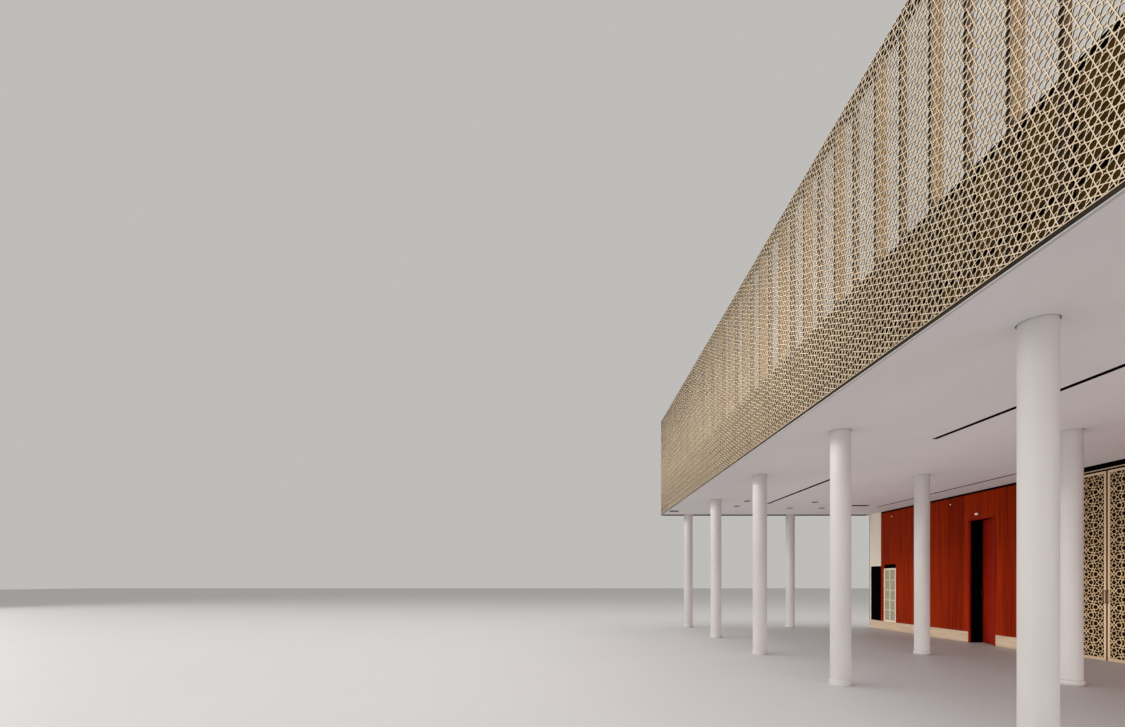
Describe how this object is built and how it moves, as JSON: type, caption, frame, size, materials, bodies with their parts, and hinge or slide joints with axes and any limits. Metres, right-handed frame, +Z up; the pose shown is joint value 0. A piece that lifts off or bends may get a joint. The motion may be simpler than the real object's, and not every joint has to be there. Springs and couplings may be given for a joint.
{
  "type": "mosque gallery",
  "caption": "Raised prayer hall gallery on round columns, with a tall eight-pointed star lattice screen, a clad side wall and a tall pair of hinged lattice doors.",
  "frame": {"origin": "centre of the bounding box at floor level", "axes": "+X from the lattice screen towards the side wall, +Y along the gallery away from the viewer, +Z up"},
  "size_m": [7.66, 18.45, 7.3],
  "materials": {
    "plaster": "matt white painted plaster",
    "concrete": "plain screed",
    "lattice": "satin pale gold anodised",
    "bronze": "dark bronze",
    "guard": "satin brown bronze",
    "rose_gold": "satin rose gold",
    "red_timber": "satin red-brown veneer",
    "stone": "honed cream stone",
    "dark": "dark backing"
  },
  "bodies": {
    "gallery": {"ceiling_lining": "plaster", "gallery_slab": "concrete", "edge_fascia": "bronze", "edge_guard": "guard", "wall_near": "plaster", "wall_over_lattice_doors": "plaster", "wall_middle": "plaster", "wall_over_doorway": "plaster", "wall_far": "plaster", "red_cladding_near": "red_timber", "red_cladding_far": "red_timber", "end_lining": "plaster", "air_panel": "stone", "dark_panel": "dark", "skirting_near": "stone", "skirting_middle": "stone", "skirting_far": "stone", "lattice_door_surround": "rose_gold", "lattice_door_near_hinge": "bronze", "lattice_door_far_hinge": "bronze", "red_door_hinge": "bronze", "red_door_surround": "red_timber", "front_column_1": "plaster", "rear_column_1": "plaster", "front_column_2": "plaster", "rear_column_2": "plaster", "front_column_3": "plaster", "rear_column_3": "plaster", "front_column_4": "plaster", "rear_column_4": "plaster", "front_column_5": "plaster", "rear_column_5": "plaster", "front_column_6": "plaster", "rear_column_6": "plaster", "screen_frame_1": "bronze", "screen_lattice_1": "lattice", "screen_frame_2": "bronze", "screen_lattice_2": "lattice", "screen_frame_3": "bronze", "screen_lattice_3": "lattice", "screen_frame_4": "bronze", "screen_lattice_4": "lattice", "screen_frame_5": "bronze", "screen_lattice_5": "lattice"},
    "lattice_door_near": {"lattice_door_near_frame": "rose_gold", "lattice_door_near_panel": "dark", "lattice_door_near_pull": "bronze"},
    "lattice_door_far": {"lattice_door_far_frame": "rose_gold", "lattice_door_far_panel": "dark", "lattice_door_far_pull": "bronze"},
    "red_door": {"red_door_leaf": "red_timber", "red_door_pull": "bronze"}
  },
  "joints": [
    {"name": "lattice_door_near_swing", "type": "hinge", "parent": "gallery", "child": "lattice_door_near", "pos_m": [3.664, -0.3095, 0], "axis": [0, 0, 1], "range_deg": [0, 90]},
    {"name": "lattice_door_far_swing", "type": "hinge", "parent": "gallery", "child": "lattice_door_far", "pos_m": [3.664, 1.6375, 0], "axis": [0, 0, -1], "range_deg": [0, 90]},
    {"name": "red_door_swing", "type": "hinge", "parent": "gallery", "child": "red_door", "pos_m": [3.521, 3.2765, 0], "axis": [0, 0, -1], "range_deg": [-20, 70]}
  ]
}
